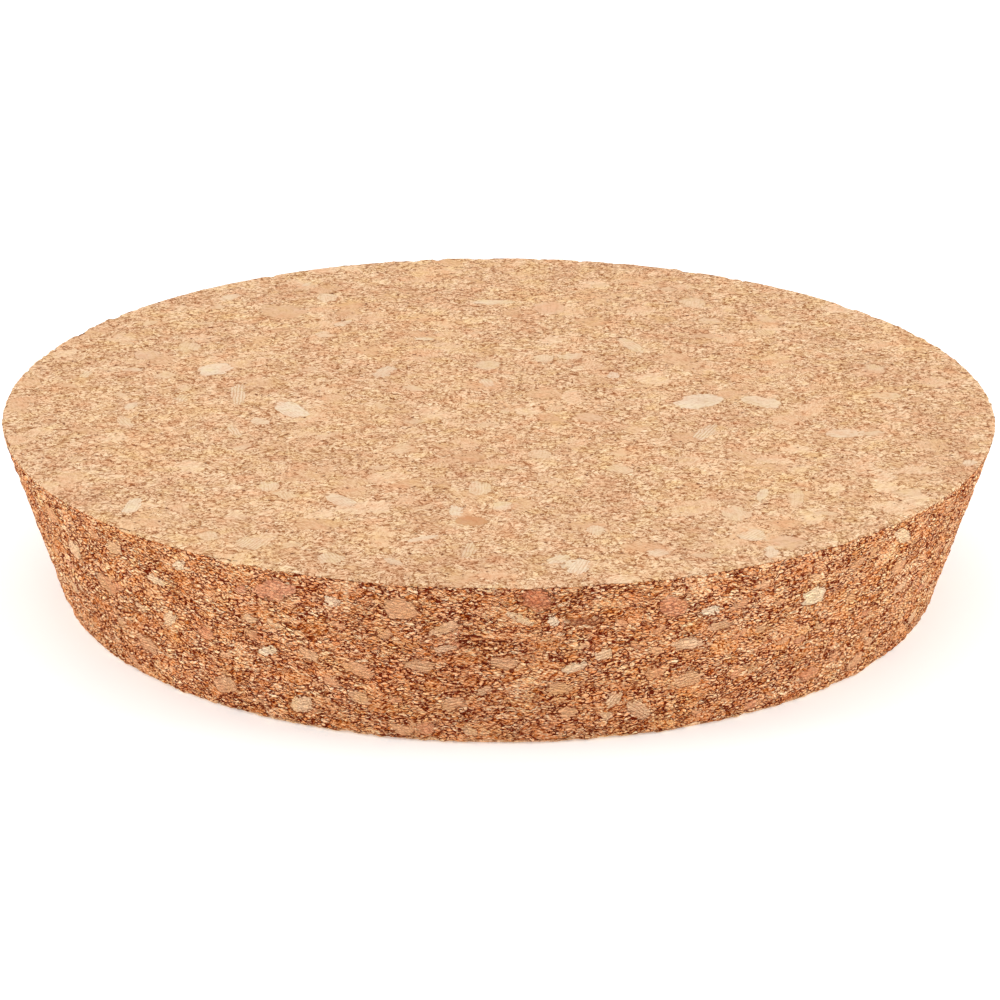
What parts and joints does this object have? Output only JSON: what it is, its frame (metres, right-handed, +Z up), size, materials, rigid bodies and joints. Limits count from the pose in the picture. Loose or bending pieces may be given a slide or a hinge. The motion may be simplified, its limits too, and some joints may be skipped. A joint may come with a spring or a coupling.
{
  "type": "cork stopper",
  "caption": "Wide, shallow, tapered round plug of agglomerated cork that closes the mouth of a jar and lifts out by hand.",
  "frame": {"origin": "centre of the narrow bottom face", "axes": "+Z up along the plug's axis, from the narrow face to the wide face; X and Y are any two directions across the round plug"},
  "size_m": [0.112, 0.112, 0.02],
  "materials": {
    "agglomerated_cork": "matte"
  },
  "bodies": {
    "root": {"cork_plug": "agglomerated_cork"}
  },
  "joints": []
}
